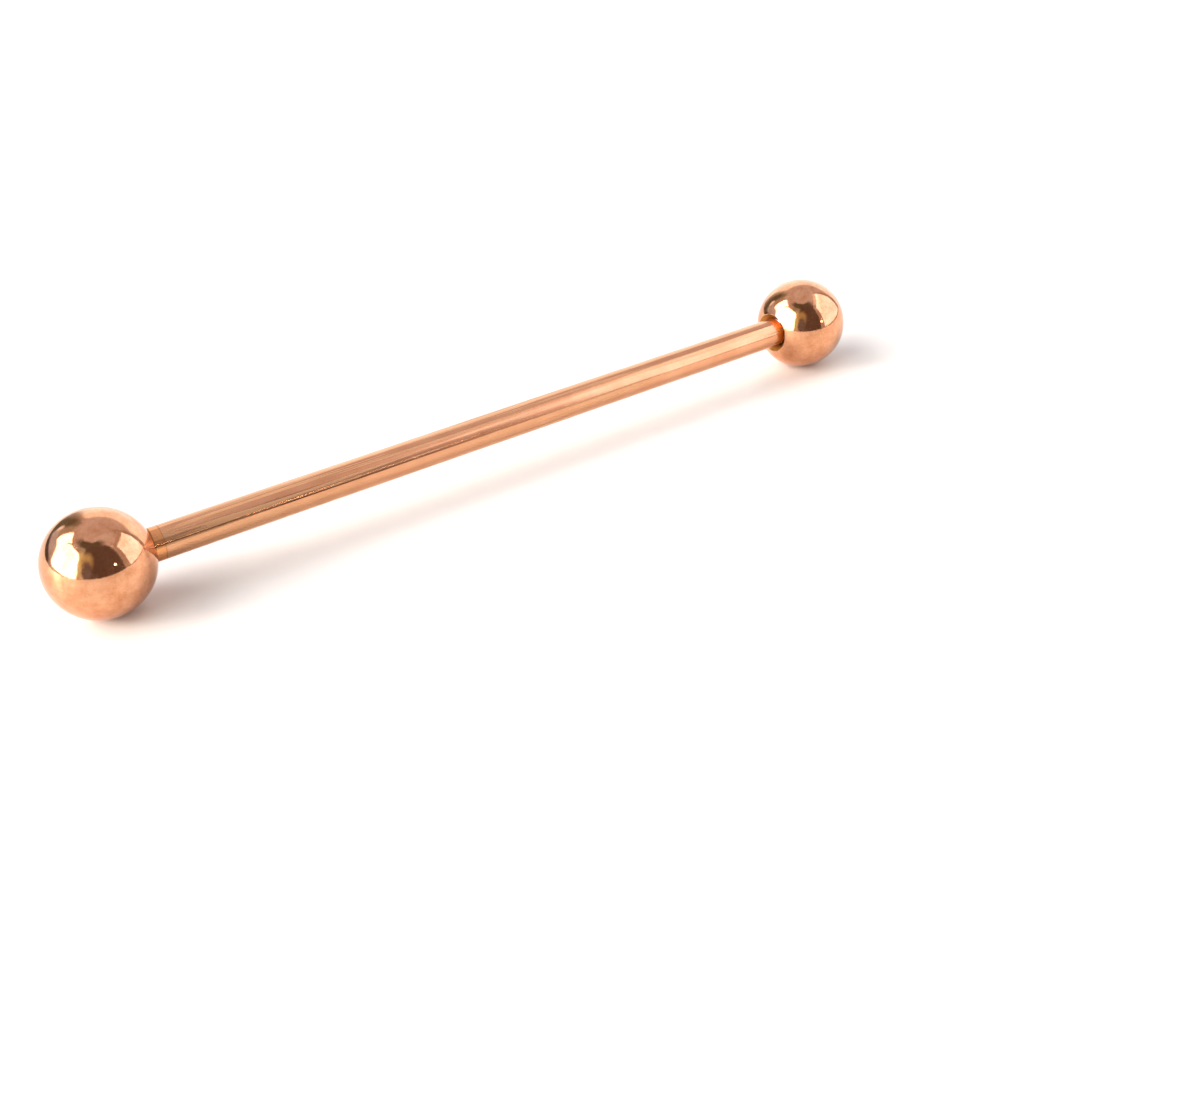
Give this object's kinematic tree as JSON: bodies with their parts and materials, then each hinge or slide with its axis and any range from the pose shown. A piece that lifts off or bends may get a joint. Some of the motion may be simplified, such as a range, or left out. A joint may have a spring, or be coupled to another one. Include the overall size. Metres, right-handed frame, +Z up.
{
  "type": "straight barbell",
  "caption": "Straight barbell: a long polished round bar with a threaded stub and a screw-on ball at each end.",
  "frame": {"origin": "on the surface that the barbell lies on, below the middle of the bar", "axes": "+X along the bar from the left ball to the right ball, +Z up"},
  "size_m": [0.047, 0.005, 0.005],
  "materials": {
    "bar_rose_gold": "polished surgical steel with a rose gold coating, bare steel on the threads",
    "ball_rose_gold": "mirror-polished surgical steel with a rose gold coating, bare steel in the threaded hole"
  },
  "bodies": {
    "bar": {"bar": "bar_rose_gold"},
    "left_ball": {"left_ball": "ball_rose_gold"},
    "right_ball": {"right_ball": "ball_rose_gold"}
  },
  "joints": [
    {"name": "left_ball_slide", "type": "slide", "parent": "bar", "child": "left_ball", "axis": [-1, 0, 0], "range_m": [0, 0.01]},
    {"name": "right_ball_slide", "type": "slide", "parent": "bar", "child": "right_ball", "axis": [1, 0, 0], "range_m": [0, 0.01]}
  ]
}
